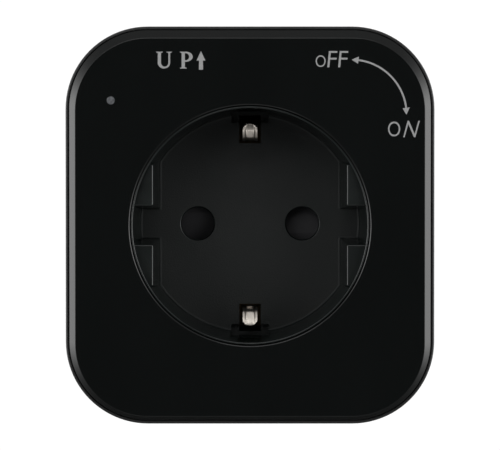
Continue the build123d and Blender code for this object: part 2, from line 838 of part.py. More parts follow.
with BuildPart() as transformer:
    width, height, stand = transformer_size
    with BuildSketch(behind(board_depth)):
        with Locations(transformer_at):
            Rectangle(width, height)
    extrude(amount=stand)
    # the bobbin stands back from the core above and below
    with BuildSketch(behind(board_depth)):
        with Locations(transformer_at):
            Rectangle(width - 2 * bobbin_margin, height)
            Rectangle(width - 2 * bobbin_margin, height - bobbin_margin, mode=Mode.SUBTRACT)
    extrude(amount=stand - bobbin_margin, mode=Mode.SUBTRACT)
save(transformer, "transformer")

with BuildPart() as radio_module:
    width, height, stand = radio_size
    with BuildSketch(behind(board_depth)):
        with Locations(radio_at):
            Rectangle(width, height)
    extrude(amount=radio_board)
    # the can covers the module except for the strip with the aerial
    with BuildSketch(behind(board_depth - radio_board)):
        with Locations((radio_at[0], radio_at[1] + radio_aerial / 2)):
            RectangleRounded(width - 2 * radio_margin, height - radio_aerial - 2 * radio_margin, radio_margin)
    extrude(amount=stand - radio_board)
save(radio_module, "radio_module")

with BuildPart() as supply_capacitor:
    with BuildSketch(behind(board_depth)):
        with Locations(capacitor_at):
            Circle(capacitor_radius)
    extrude(amount=capacitor_height)
    fillet(supply_capacitor.edges().group_by(Axis.Y)[0], component_edge)
save(supply_capacitor, "supply_capacitor")

with BuildPart() as fuse:
    with BuildSketch(Plane.XY.offset(-fuse_half)):
        with Locations((fuse_x, y_of(board_depth) - fuse_radius)):
            Circle(fuse_radius)
    extrude(amount=2 * fuse_half)
save(fuse, "fuse")

with BuildPart() as light_pipe:
    with BuildSketch(behind(board_depth - led_height - led_air)):
        with Locations(led_at):
            Circle(pipe_radius)
    extrude(amount=board_depth - led_height - led_air - plate_back)
    with BuildSketch(behind(plate_back)):
        with Locations(led_at):
            Circle(pipe_tip_radius)
    extrude(amount=plate_back)
save(light_pipe, "light_pipe")

# ------------------------------------------------------------------ leads
# From the live blade to the relay, along the board, and from the relay over it to the live bar.
lead_y = y_of(bar_depth + strip_thick) - lead_radius
relay_side_x = relay_at[0] - relay_size[0] / 2 - fit_gap
relay_foot_z = relay_at[1] - relay_size[1] / 2 - fit_gap
for name, points in (
    (
        "live_lead",
        (
            (-conductor_at, lead_y, strip_half / 2),
            (-conductor_at, lead_y, live_lead_turn_z),
            (relay_side_x, lead_y, live_lead_turn_z),
        ),
    ),
    (
        "load_lead",
        (
            (load_lead_from, lead_y - load_lead_lift, relay_foot_z),
            (load_lead_from, lead_y - load_lead_lift, load_lead_z),
            (load_lead_to, lead_y - load_lead_lift, load_lead_z),
            (load_lead_to, lead_y - load_lead_lift, 0),
            (load_lead_to, y_of(bar_depth), 0),
        ),
    ),
):
    with BuildPart() as lead:
        with BuildLine() as route:
            FilletPolyline(*points, radius=lead_bend)
        with BuildSketch(Plane(route.line @ 0, z_dir=route.line % 0)):
            Circle(lead_radius)
        sweep(path=route.line)
    save(lead, name)

# ------------------------------------------------------------------ fasteners
# name, places, depth of the head's seat, head radius, head height, shank radius and length
for name, (x, z), seat_at, head_radius, head_height, shank_radius, length in (
    (
        "housing_screws",
        (case_screw_x, case_screw_z),
        split_depth + case_head_seat,
        case_head_radius,
        case_head_height,
        case_pilot_radius - fit_gap,
        case_head_seat + case_screw_bite,
    ),
    (
        "cup_screws",
        (cup_screw_at, cup_screw_at),
        flange_depth + flange_thick,
        small_head_radius,
        small_head_height,
        cup_pilot_radius - fit_gap,
        flange_thick + cup_pilot_deep - small_pilot_spare,
    ),
    (
        "carrier_screws",
        (carrier_screw_at, carrier_screw_at),
        strap_depth,
        small_head_radius,
        small_head_height,
        carrier_pilot_radius - fit_gap,
        carrier_plate + carrier_pilot_deep - small_pilot_spare,
    ),
):
    with BuildPart() as screws:
        with BuildSketch(behind(seat_at)):
            with corners(x, z):
                Circle(head_radius)
        extrude(amount=-head_height)
        with BuildSketch(behind(seat_at)):
            with corners(x, z):
                Circle(shank_radius)
        extrude(amount=length)
        with BuildSketch(behind(seat_at + head_height)):
            with corners(x, z):
                Rectangle(cross_reach * head_radius, cross_width * head_radius)
                Rectangle(cross_width * head_radius, cross_reach * head_radius)
        extrude(amount=head_height / 2, mode=Mode.SUBTRACT)
    save(screws, name)

with BuildPart() as board_screws:
    with BuildSketch(behind(board_depth)):
        with corners(*board_screw):
            Circle(board_head_radius)
    extrude(amount=board_head_height)
    with BuildSketch(behind(board_depth)):
        with corners(*board_screw):
            Circle(board_pilot_radius - fit_gap)
    extrude(amount=-board_screw_length)
    with BuildSketch(behind(board_depth - board_head_height)):
        with corners(*board_screw):
            Rectangle(cross_reach * board_head_radius, cross_width * board_head_radius)
            Rectangle(cross_width * board_head_radius, cross_reach * board_head_radius)
    extrude(amount=-board_head_height / 2, mode=Mode.SUBTRACT)
save(board_screws, "board_screws")
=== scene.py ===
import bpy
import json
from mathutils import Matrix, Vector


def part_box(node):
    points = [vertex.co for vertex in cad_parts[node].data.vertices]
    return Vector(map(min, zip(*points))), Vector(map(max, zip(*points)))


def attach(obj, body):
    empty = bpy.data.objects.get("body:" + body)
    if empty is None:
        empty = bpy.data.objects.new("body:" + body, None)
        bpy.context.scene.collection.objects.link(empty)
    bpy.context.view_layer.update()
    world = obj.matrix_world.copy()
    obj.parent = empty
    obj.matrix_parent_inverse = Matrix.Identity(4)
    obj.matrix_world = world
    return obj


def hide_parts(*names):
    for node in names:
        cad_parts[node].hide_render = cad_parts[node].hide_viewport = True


bl_info = {
    "name": "Track Socket",
    "version": (1, 0, 0),
    "blender": (4, 5, 0),
    "location": "View3D > Sidebar > Track Socket",
    "description": "Builds the visible pieces and finishes of a quarter-turn track socket round its frame",
    "category": "Object",
}

import bpy
import bmesh
import json
from math import cos, pi, radians, sin, tan
from mathutils import Matrix, Vector

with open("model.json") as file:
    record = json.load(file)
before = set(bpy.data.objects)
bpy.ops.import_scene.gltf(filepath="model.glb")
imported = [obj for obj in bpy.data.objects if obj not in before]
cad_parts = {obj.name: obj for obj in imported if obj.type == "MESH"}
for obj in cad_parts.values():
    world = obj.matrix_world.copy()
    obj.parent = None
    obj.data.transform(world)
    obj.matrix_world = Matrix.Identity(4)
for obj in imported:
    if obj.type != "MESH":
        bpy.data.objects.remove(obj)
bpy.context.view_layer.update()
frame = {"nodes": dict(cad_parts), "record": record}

MM = 0.001  # pieces are shaped in millimetres and brought to metres when they are finished
FACE_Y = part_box("face_panel")[0].y / MM

# ------------------------------------------------------------------ sizes in millimetres that no user sets
LIGHT_HOLE = 0.7  # radius
LIGHT_HOLE_ROUND = 0.04
CUT_LIFT = 0.002  # a cutter's rounding starts this far in front of the face it cuts
CUT_PAST = 1.0  # and the cutter runs this far past what it cuts
NUDGE = 0.01  # keeps the faces of two cutters out of one plane

DRAFT = tan(radians(2.5))
CUP_WALL = 2.15
LIP_INNER_ROUND = 0.2
LIP_OUTER_ROUND = 0.12
SHOULDER_DEPTH = 4.4
FLANGE_DEPTH = 10.0
FLANGE_THICK = 2.0
FLANGE = 1.5
BLOCK_SUNK = 0.28  # how far a guide block runs into the wall of the recess
BLOCK_UNDER = 0.3  # and how far its foot runs below the floor
SLOT_HALF = 1.95
SLOT_INNER = 14.6
SLOT_TEE = 18.3
SLOT_TEE_HALF = 3.4
TEE_DEEP = 1.2
TEE_TO = 20.3
POCKET_DEPTH = 8.0
POCKET_TO = 21.0

CLIP_THICK = 0.4
CLIP_LINE = ((17.35, 5.5, 0), (16.9, 5.6, 0.35), (14.75, 7.1, 1.1), (17.75, 15.0, 0.9))  # radius, depth, rounding
CLIP_KNEE_ROUND = 0.6
CLIP_FOOT_TO = 15.3
CLIP_CHANNEL_LIFT = 0.05
CLIP_EDGE = 0.07
CLIP_TIP_LENGTH = 0.9
CLIP_TIP_OUT = 0.62
CLIP_TIP_NARROWS = 0.16  # share of its width

MARK_THICK = 1.0  # before it is brought to the marks' rise
LETTER_HEIGHT = 2.95
LETTER_THIN = -0.006  # thins the strokes of a letter that is one unit high

PARTING_Y = -30.0
PARTING_HALF = 0.12
FLOOR_GRAIN = (17.3, 17.53)  # depths between which the recess is grained
HOLLOW_GRAIN = 17.95  # and the depth from which it is grained again
FRONT_GRAIN = (1.45, 1.52)
CLIP_SHADE_RADII = (14.9, 15.7)  # radii between which the painted shade on the clip's inner end fades
CLIP_SHADE_DEPTH = 8.0

# ------------------------------------------------------------------ the surroundings
BELL_BASE = 2.718
BANK_RISE = 0.07
BANK_SPREAD = 0.33
SENSOR_WIDTH = 36.0
TARGET_RISE = 0.00009  # metres, from the middle of the face


# ------------------------------------------------------------------ what a user can set
def length(name, description, default_mm):
    """A length property whose default is given in millimetres."""
    return bpy.props.FloatProperty(
        name=name, description=description, default=default_mm * MM, min=0.0, precision=5, unit="LENGTH"
    )


def colour(name, description, default):
    """A colour property."""
    return bpy.props.FloatVectorProperty(
        name=name, description=description, default=default, min=0.0, max=1.0, subtype="COLOR"
    )


class SocketSizes(bpy.types.PropertyGroup):
    """Sizes of the visible pieces."""

    bevel: length("Bevel", "Depth of the face plate's bevel", 1.2)
    bevel_side: length("Bevel side", "Width of the bevel at the sides", 1.1)
    bevel_drop: length("Bevel drop", "How far the flat sits below the middle of the plate", 0.35)
    corner: length("Corner", "Corner radius of the face plate", 13.85)
    edge: length("Edge", "Rounding of the plate's edges", 0.22)
    mouth: length("Mouth", "Radius of the round opening in the face plate", 21.12)
    recess_depth: length("Recess depth", "Depth of the recess from the flat of the face", 17.5)
    recess_floor: length("Floor", "Thickness of the recess floor", 2.0)
    floor_radius: length("Floor radius", "Radius of the recess at its floor", 19.85)
    lip: length("Lip", "Thickness of the cup's lip", 0.35)
    guide_flat: length("Guide flat", "Half the width between the guide blocks at their front", 17.05)
    guide_height: length("Guide height", "Half the height of the guide blocks", 10.75)
    guide_notch: length("Guide notch", "Half the height of the notch between two blocks, at their front", 3.4)
    guide_front: length("Guide front", "Depth of the guide blocks' front below the face", 1.5)
    guide_edge: length("Guide edge", "Rounding of the guide blocks", 0.28)
    floor_fillet: length("Floor fillet", "Fillet between the recess's floor and its walls", 0.4)
    clip_width: length("Clip width", "Width of an earth clip", 2.8)
    clip_rib: length("Clip rib", "Height of the ribs along an earth clip", 0.16)
    pin_hole: length("Pin hole", "Radius of a pin hole", 2.95)
    pin_edge: length("Pin hole edge", "Rounding of a pin hole's edge", 0.35)
    pin_spacing: length("Pin spacing", "Distance between the pin holes", 19.0)
    mark_rise: length("Mark rise", "How far the printed marks stand out of the face", 0.03)


class SocketColours(bpy.types.PropertyGroup):
    """Colours of the visible finishes."""

    face: colour("Face", "Glossy face plate", (0.0042, 0.0049, 0.0048))
    case: colour("Case", "Textured case", (0.0085, 0.0090, 0.0090))
    cup: colour("Recess", "Matte recess", (0.0030, 0.0052, 0.0048))
    shutter: colour("Shutter", "Pin shutter", (0.0105, 0.0105, 0.0125))
    ink: colour("Ink", "Printed marks", (0.29, 0.29, 0.29))
    earth: colour("Earth clips", "Plated earth clips", (0.66, 0.61, 0.55))
    brass: colour("Brass", "Contacts and blades", (0.72, 0.52, 0.24))


class StageSettings(bpy.types.PropertyGroup):
    """Camera and light."""

    distance: bpy.props.FloatProperty(
        name="Distance", description="Camera to face", default=0.5, min=0.1, unit="LENGTH"
    )
    elevation: bpy.props.FloatProperty(
        name="Elevation", description="Camera above the face's middle", default=radians(1.2), unit="ROTATION"
    )
    view_width: bpy.props.FloatProperty(
        name="View width", description="Width of the view at the face", default=0.08783, min=0.01, unit="LENGTH"
    )
    side_glow: bpy.props.FloatProperty(
        name="Side light", description="Radiance of the two soft banks at the sides", default=4.2, min=0.0
    )
    key_glow: bpy.props.FloatProperty(
        name="Key light", description="Radiance of the key above the camera", default=2.2, min=0.0
    )
    fill_glow: bpy.props.FloatProperty(
        name="Fill light", description="Radiance of the fills above and below", default=0.6, min=0.0
    )
    floor_drop: bpy.props.FloatProperty(
        name="Floor drop", description="Height of the part above the floor", default=0.3, unit="LENGTH"
    )


# ------------------------------------------------------------------ shaping
def round_corners(bm, verts, radius, segments):
    """Round an outline at these corners."""
    bmesh.ops.bevel(
        bm, geom=verts, offset=radius, offset_type="OFFSET", segments=segments, profile=0.5,
        affect="VERTICES", material=-1,
    )


def rounded_line(points, roundings, segments):
    """A new shape that is one line through these points, with its corners rounded."""
    bm = bmesh.new()
    line = [bm.verts.new(point) for point in points]
    for a, b in zip(line, line[1:]):
        bm.edges.new((a, b))
    for vert, radius in zip(line, roundings):
        if radius:
            round_corners(bm, [vert], radius, segments)
    return bm


def turned(profile, steps, middle=(0.0, 0.0)):
    """A solid turned about a line along Y through middle (x, z).

    profile holds (radius, y, rounding) and runs from the axis back to the axis, where its ends are closed.
    """
    bm = rounded_line([(radius, y, 0.0) for radius, y, _ in profile], [row[2] for row in profile], 5)
    bmesh.ops.spin(
        bm, geom=bm.verts[:] + bm.edges[:], cent=(0, 0, 0), axis=(0, 1, 0), angle=2 * pi, steps=steps,
        use_merge=True, use_duplicate=False,
    )
    bmesh.ops.remove_doubles(bm, verts=bm.verts, dist=1e-4)
    # a flat end is one face rather than a fan
    hubs = [v for v in bm.verts if v.co.xz.length < 1e-4]
    bmesh.ops.dissolve_verts(bm, verts=hubs)
    bmesh.ops.recalc_face_normals(bm, faces=bm.faces)
    bmesh.ops.translate(bm, verts=bm.verts, vec=(middle[0], 0, middle[1]))
    return bm


def hole_cutter(radius, front_y, back_y, rounding, steps, middle=(0.0, 0.0)):
    """A turned cutter for a round hole through a wall, with a flared front that rounds the hole's edge."""
    lifted, wide = front_y - CUT_LIFT, radius + CUT_PAST
    return turned(
        [
            (0, back_y + CUT_PAST, 0), (radius, back_y + CUT_PAST, 0), (radius, lifted, rounding),
            (wide, lifted, 0), (wide, lifted - CUT_PAST, 0), (0, lifted - CUT_PAST, 0),
        ],
        steps, middle,
    )


def evaluated_mesh(holder):
    """A new mesh of an object as its modifiers or its text make it."""
    return bpy.data.meshes.new_from_object(holder.evaluated_get(bpy.context.evaluated_depsgraph_get()))


def block(low, high):
    """A box from its lowest to its highest corner."""
    bm = bmesh.new()
    bmesh.ops.create_cube(bm, size=1.0)
    size = [b - a for a, b in zip(low, high)]
    centre = [(a + b) / 2 for a, b in zip(low, high)]
    bmesh.ops.scale(bm, verts=bm.verts, vec=size)
    bmesh.ops.translate(bm, verts=bm.verts, vec=centre)
    return bm


def round_edges(bm, edges, radius, segments):
    """Round these edges."""
    bmesh.ops.bevel(
        bm, geom=edges, offset=radius, offset_type="OFFSET", segments=segments, profile=0.5,
        affect="EDGES", material=-1,
    )


def as_object(bm, name):
    """A loose object holding this shape, and the end of the bmesh."""
    mesh = bpy.data.meshes.new(name)
    bm.to_mesh(mesh)
    bm.free()
    piece = bpy.data.objects.new(name, mesh)
    bpy.context.scene.collection.objects.link(piece)
    return piece


def combine(base, tools, operation):
    """The base shape after each tool shape is added to it or cut from it."""
    work = as_object(base, "work")
    for tool in tools:
        other = as_object(tool, "tool")
        change = work.modifiers.new("change", "BOOLEAN")
        change.object = other
        change.operation = operation
        change.solver = "EXACT"
        shaped = evaluated_mesh(work)
        work.modifiers.clear()
        work.data = shaped
        bpy.data.objects.remove(other)
    bm = bmesh.new()
    bm.from_mesh(work.data)
    bpy.data.objects.remove(work)
    bmesh.ops.remove_doubles(bm, verts=bm.verts, dist=2e-4)
    if not bm.faces:
        raise RuntimeError("a shape vanished while it was being cut")
    return bm


def finish_piece(bm, name, body, nodes, material, sharp=35.0):
    """Bring a shape to metres and make it a piece that rides on a body."""
    bmesh.ops.scale(bm, verts=bm.verts, vec=(MM, MM, MM))
    piece = as_object(bm, name)
    piece.data.shade_smooth()
    piece.data.set_sharp_from_angle(angle=radians(sharp))
    weighted = piece.modifiers.new("even normals", "WEIGHTED_NORMAL")
    weighted.keep_sharp = True
    piece.data.materials.append(material)
    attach(piece, body)
    if nodes:
        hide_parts(*nodes)
    return piece


# ------------------------------------------------------------------ shader maths
class Number:
    """A number socket that Python's operators work on."""

    def __init__(self, finish, socket):
        self.finish = finish
        self.socket = socket

    def _maths(self, operation, first, second):
        made = self.finish.node("ShaderNodeMath", {"operation": operation}, {0: first, 1: second})
        return Number(self.finish, made.outputs[0])

    def __add__(self, other):
        return self._maths("ADD", self, other)

    def __radd__(self, other):
        return self._maths("ADD", other, self)

    def __sub__(self, other):
        return self._maths("SUBTRACT", self, other)

    def __rsub__(self, other):
        return self._maths("SUBTRACT", other, self)

    def __mul__(self, other):
        return self._maths("MULTIPLY", self, other)

    def __rpow__(self, other):
        return self._maths("POWER", other, self)

    def above(self, other):
        return self._maths("GREATER_THAN", self, other)

    def between(self, low, high):
        """1 between two values and 0 outside them."""
        return self.above(low) * (1.0 - self.above(high))

    def bell(self):
        """1 at zero, falling away evenly on both sides."""
        return BELL_BASE ** (self * self * -1.0)


class Graph:
    """A tree of shader nodes that is added to by name."""

    def __init__(self, tree):
        self.tree = tree

    def node(self, kind, settings=None, values=None):
        """A node of this kind, with its settings made first and then the values or links of its sockets."""
        made = self.tree.nodes.new(kind)
        for name, value in (settings or {}).items():
            setattr(made, name, value)
        for name, value in (values or {}).items():
            self.feed(made.inputs[name], value)
        return made

    def feed(self, socket, value):
        """Link an output to this socket, or set a plain value on it."""
        if isinstance(value, Number):
            value = value.socket
        if isinstance(value, bpy.types.NodeSocket):
            self.tree.links.new(value, socket)
        else:
            socket.default_value = value

    def axes(self, place):
        """The three numbers of a vector."""
        split = self.node("ShaderNodeSeparateXYZ", None, {"Vector": place})
        return [Number(self, split.outputs[axis]) for axis in "XYZ"]

    def spread(self, value, low, high, from_low=0.3, from_high=0.7):
        """The value brought from one range to another."""
        made = self.node(
            "ShaderNodeMapRange", None,
            {"Value": value, "From Min": from_low, "From Max": from_high, "To Min": low, "To Max": high},
        )
        return Number(self, made.outputs["Result"])


class Finish(Graph):
    """A material, its Principled shader and the nodes that feed it."""

    def __init__(self, name, base, roughness, **fixed):
        self.material = bpy.data.materials.new(name)
        self.material.use_nodes = True
        super().__init__(self.material.node_tree)
        self.shader = self.tree.nodes["Principled BSDF"]
        self.set("Base Color", (*base, 1.0))
        self.set("Roughness", roughness)
        for socket, value in fixed.items():
            self.set(socket.replace("_", " "), value)
        self.place = self.node("ShaderNodeTexCoord").outputs["Object"]

    def set(self, name, value):
        """Set or link one of the shader's own sockets."""
        self.feed(self.shader.inputs[name], value)

    def noise(self, grain_mm, detail=2.0, stretch=(1.0, 1.0, 1.0), rough=0.5):
        """Noise whose features are about this size, from 0 to 1."""
        where = self.node("ShaderNodeMapping", None, {"Vector": self.place, "Scale": stretch})
        made = self.node(
            "ShaderNodeTexNoise", None,
            {"Vector": where.outputs[0], "Scale": 1 / (grain_mm * MM), "Detail": detail, "Roughness": rough},
        )
        return Number(self, made.outputs["Fac"])

    def blend(self, amount, first, second):
        """A colour between two colours."""
        made = self.node(
            "ShaderNodeMix", {"data_type": "RGBA"}, {0: amount, 6: (*first, 1.0), 7: (*second, 1.0)}
        )
        return made.outputs[2]

    def bump(self, height, depth_mm):
        """Raise the surface by this height."""
        made = self.node("ShaderNodeBump", None, {"Height": height, "Distance": depth_mm * MM, "Strength": 1.0})
        self.set("Normal", made.outputs[0])


def lighter(base, factor):
    """A colour some way lighter or darker."""
    return tuple(min(1.0, c * factor) for c in base)


# ------------------------------------------------------------------ finishes
def moulded(name, base, roughness, grain_mm=0.25, depth_mm=0.01, mottle=0.25, **fixed):
    """Moulded plastic with a spark-eroded grain, slightly uneven in tone and gloss."""
    made = Finish(name, base, roughness, **fixed)
    grain = made.noise(grain_mm, 2.0)
    cloud = made.noise(7.0, 3.0)
    made.set("Base Color", made.blend(cloud, lighter(base, 1 - mottle), lighter(base, 1 + mottle)))
    made.set("Roughness", made.spread(grain * 0.5 + cloud * 0.5, roughness * 0.88, min(1.0, roughness * 1.12)))
    made.bump(grain, depth_mm)
    return made.material


def case_plastic(name, base):
    """Spark-eroded case plastic, with a fine seam where its two shells meet, bumped in and darkened as painted
    shade.
    """
    made = Finish(name, base, 0.42)
    grain, cloud = made.noise(0.3, 2.0, rough=0.6), made.noise(7.0, 3.0)
    _, depth, _ = made.axes(made.place)
    groove_and_shade = ((depth - PARTING_Y * MM) * (1 / (PARTING_HALF * MM))).bell()
    # painted shade: the seam darkens the colour; its bump and roughness shape the seam itself
    tone = (cloud * 0.4 + 0.6) * (1.0 - groove_and_shade)
    made.set("Base Color", made.blend(tone, lighter(base, 0.1), lighter(base, 1.25)))
    made.set("Roughness", made.spread(grain * 0.5 + cloud * 0.5, 0.38, 0.48) + groove_and_shade * 0.4)
    made.bump(grain * 0.12 - groove_and_shade, 0.12)
    return made.material


def recess_plastic(name, base):
    """The recess's plastic: smooth satin walls, and a floor with a fine spark-eroded grain."""
    made = Finish(name, base, 0.4)
    grain, cloud = made.noise(0.28, 2.0, rough=0.65), made.noise(6.0, 3.0)
    _, depth, _ = made.axes(made.place)
    on_floor = depth.between(*((FACE_Y + d) * MM for d in FLOOR_GRAIN))
    on_floor = on_floor + depth.above((FACE_Y + HOLLOW_GRAIN) * MM)
    matte = on_floor + depth.between(*((FACE_Y + d) * MM for d in FRONT_GRAIN)) * 0.3
    tone = grain * 0.6 + cloud * 0.4
    made.set("Base Color", made.blend(made.spread(tone, 0.0, 1.0), lighter(base, 0.55), lighter(base, 1.5)))
    made.set("Roughness", made.spread(cloud, 0.17, 0.24) + matte * 0.47)
    made.bump(grain * (matte * 0.9 + 0.1), 0.045)
    return made.material


def polished(name, base, roughness):
    """Smooth glossy plastic with the faintest handling marks."""
    made = Finish(name, base, roughness)
    smear = made.noise(9.0, 4.0, (1.0, 1.0, 0.35))
    hair = made.noise(0.7, 2.0, (1.0, 1.0, 0.06))
    made.set("Roughness", made.spread(smear * 0.7 + hair * 0.3, roughness * 0.8, roughness * 1.3))
    made.set("Base Color", made.blend(smear, lighter(base, 0.85), lighter(base, 1.15)))
    made.bump(made.noise(4.0, 1.0), 0.004)
    return made.material


def rolled_metal(name, base, roughness, stretch=(1.0, 0.08, 0.08), tarnish=0.2):
    """Strip metal with the fine lines of rolling and a little tarnish."""
    made = Finish(name, base, roughness, Metallic=1.0)
    lines = made.noise(0.12, 2.0, stretch)
    cloud = made.noise(3.0, 3.0)
    made.set("Base Color", made.blend(made.spread(cloud, 0.0, 1.0), lighter(base, 1 - tarnish), base))
    made.set("Roughness", made.spread(lines * 0.6 + cloud * 0.4, roughness * 0.75, roughness * 1.35))
    made.bump(lines, 0.002)
    return made.material


def clip_metal(name, base):
    """Plated strip, with painted shade that darkens its inner end, streaked along the rolling lines."""
    made = Finish(name, base, 0.3, Metallic=1.0)
    lines, cloud = made.noise(0.16, 2.0, (1.0, 0.06, 0.06)), made.noise(3.0, 3.0)
    _, depth, out = made.axes(made.place)
    # painted shade: towards its inner end and near the front, the strip's colour is darkened, streaked by the
    # lines
    inner = made.spread(out * out, 1.0, 0.0, *((radius * MM) ** 2 for radius in CLIP_SHADE_RADII))
    inner = inner * (1.0 - depth.above((FACE_Y + CLIP_SHADE_DEPTH) * MM))
    shade_streaks = made.spread(lines, 0.0, 1.0, 0.42, 0.58)
    unshaded = (1.0 - inner * (0.75 + shade_streaks * 0.25)) * (0.9 + cloud * 0.1)
    made.set("Base Color", made.blend(unshaded, lighter(base, 0.12), base))
    made.set("Roughness", made.spread(lines * 0.6 + cloud * 0.4, 0.24, 0.4))
    made.bump(lines, 0.003)
    return made.material


def printed_ink(name, base):
    """Pad-printed ink with slightly uneven cover."""
    made = Finish(name, base, 0.55)
    cover = made.noise(0.5, 3.0)
    made.set("Base Color", made.blend(cover, lighter(base, 0.75), lighter(base, 1.2)))
    made.bump(made.noise(0.15, 1.0), 0.004)
    return made.material


def frosted(name, base):
    """The frosted and faintly speckled end of a clear light guide."""
    made = Finish(name, base, 0.35, IOR=1.58)
    cells = made.noise(0.35, 3.0)
    made.set("Base Color", made.blend(made.spread(cells, 0.0, 1.0), lighter(base, 0.3), lighter(base, 1.7)))
    made.bump(cells, 0.06)
    return made.material


def solder_mask(name):
    """A green circuit board with tinned pads and darker copper runs."""
    made = Finish(name, (0.01, 0.09, 0.035), 0.35)
    runs = made.noise(1.6, 0.0, (1.0, 1.0, 0.2)).above(0.56)
    weave = made.noise(0.4, 1.0)
    made.set("Base Color", made.blend(runs, (0.008, 0.07, 0.028), (0.016, 0.13, 0.05)))
    made.set("Roughness", made.spread(weave, 0.28, 0.42))
    made.bump(runs * 0.7 + weave * 0.3, 0.02)
    return made.material


FINISHES = {}


def make_finishes(colours):
    """Every finish, by the name of the record's material slot."""
    FINISHES.update(
        {
            "face_plastic": polished("face plastic", colours.face, 0.08),
            "case_plastic": case_plastic("case plastic", colours.case),
            "cup_plastic": recess_plastic("recess plastic", colours.cup),
            "shutter_plastic": moulded(
                "shutter plastic", colours.shutter, 0.6, 0.4, 0.008, Specular_IOR_Level=0.35
            ),
            "carrier_plastic": moulded("carrier plastic", (0.02, 0.02, 0.021), 0.5, 0.5, 0.01),
            "turret_plastic": moulded("turret plastic", (0.016, 0.016, 0.017), 0.45, 0.35, 0.012),
            "seat_plastic": moulded("seat plastic", (0.02, 0.02, 0.021), 0.4, 0.4, 0.01),
            "detent_plastic": moulded("detent plastic", (0.72, 0.71, 0.68), 0.35, 0.5, 0.006),
            "tape": moulded("foam tape", (0.02, 0.02, 0.02), 0.9, 0.2, 0.03),
            "clear_plastic": frosted("light guide", (0.088, 0.092, 0.098)),
            "contact_brass": rolled_metal("contact brass", colours.brass, 0.25),
            "earth_metal": rolled_metal("earth plating", colours.earth, 0.3, (1.0, 0.1, 0.1), 0.08),
            "spring_steel": rolled_metal("spring steel", (0.42, 0.42, 0.43), 0.3),
            "screw_steel": rolled_metal("screw steel", (0.55, 0.55, 0.52), 0.35),
            "board": solder_mask("circuit board"),
            "relay_case": moulded("relay case", (0.02, 0.035, 0.12), 0.35, 0.5, 0.006),
            "capacitor_sleeve": polished("capacitor sleeve", (0.015, 0.018, 0.04), 0.25),
            "film_case": moulded("film capacitor case", (0.5, 0.36, 0.05), 0.3, 0.6, 0.004),
            "ferrite": moulded("ferrite", (0.03, 0.03, 0.032), 0.6, 0.2, 0.02),
            "radio_can": rolled_metal("tinned can", (0.6, 0.6, 0.58), 0.3),
            "fuse_body": moulded("fuse ceramic", (0.7, 0.67, 0.6), 0.4, 0.4, 0.006),
            "led_lens": frosted("lamp lens", (0.6, 0.62, 0.6)),
            "live_insulation": moulded("brown insulation", (0.11, 0.04, 0.016), 0.45, 0.3, 0.006),
            "load_insulation": moulded("black insulation", (0.015, 0.015, 0.015), 0.45, 0.3, 0.006),
            "mark_ink": printed_ink("mark ink", colours.ink),
            "clip_metal": clip_metal("clip plating", colours.earth),
        }
    )


def dress_frame():
    """Give every CAD node that still shows the finish of its slot, and the strap a brass darkened as painted
    shade.
    """
    finishes = {row["node"]: FINISHES[row["material_slot"]] for row in frame["record"]["subparts"]}
    # painted shade: the strap's brass is painted dark as if in shadow behind the floor
    finishes["earth_strap"] = rolled_metal("strap brass with painted shade", (0.10, 0.075, 0.045), 0.55)
    for name, node in frame["nodes"].items():
        node.data.materials.clear()
        node.data.materials.append(finishes[name])


# ------------------------------------------------------------------ operators
class SOCKET_OT_finishes(bpy.types.Operator):
    """Make every finish and put it on the frame's own nodes"""

    bl_idname = "track_socket.finishes"
    bl_label = "Finishes"

    def execute(self, context):
        make_finishes(context.scene.socket_colours)
        dress_frame()
        return {"FINISHED"}


class SOCKET_OT_face_plate(bpy.types.Operator):
    """Build the bevelled face plate with its round mouth and the hole for the light"""

    bl_idname = "track_socket.face_plate"
    bl_label = "Face plate"

    def execute(self, context):
        sizes = context.scene.socket_sizes
        low, high = (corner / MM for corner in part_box("face_panel"))
        low.y += sizes.mark_rise / MM
        bevel, edge = sizes.bevel / MM, sizes.edge / MM
        bm = bmesh.new()
        bmesh.ops.create_grid(bm, x_segments=1, y_segments=1, size=0.5)
        bmesh.ops.scale(bm, verts=bm.verts, vec=(high.x - low.x, high.z - low.z, 1))
        bmesh.ops.rotate(bm, verts=bm.verts, cent=(0, 0, 0), matrix=Matrix.Rotation(pi / 2, 3, "X"))
        bmesh.ops.translate(bm, verts=bm.verts, vec=(0, high.y, 0))
        round_corners(bm, bm.verts[:], sizes.corner / MM, 28)
        side = bmesh.ops.extrude_face_region(bm, geom=bm.faces[:])["geom"]
        front = [g for g in side if isinstance(g, bmesh.types.BMFace)]
        bmesh.ops.translate(bm, verts=front[0].verts, vec=(0, low.y + bevel - high.y, 0))
        bmesh.ops.recalc_face_normals(bm, faces=bm.faces)
        bmesh.ops.inset_region(bm, faces=front, thickness=sizes.bevel_side / MM, use_even_offset=True)
        bmesh.ops.translate(bm, verts=front[0].verts, vec=(0, -bevel, -sizes.bevel_drop / MM))
        round_edges(bm, front[0].edges[:], edge / 3, 3)
        shoulder = [e for e in bm.edges if all(abs(v.co.y - low.y - bevel) < 0.01 for v in e.verts)]
        round_edges(bm, shoulder, edge / 2, 3)
        cutters = [
            hole_cutter(sizes.mouth / MM, low.y, high.y, edge * 1.3, 192),
            hole_cutter(LIGHT_HOLE, low.y, high.y, LIGHT_HOLE_ROUND, 48, light_place()),
        ]
        bm = combine(bm, cutters, "DIFFERENCE")
        finish_piece(bm, "face_plate", "housing", ["face_panel"], FINISHES["face_plastic"])
        return {"FINISHED"}


def light_place():
    """The middle of the status light, across the face."""
    low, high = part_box("light_pipe")
    middle = (low + high) / 2 / MM
    return middle.x, middle.z


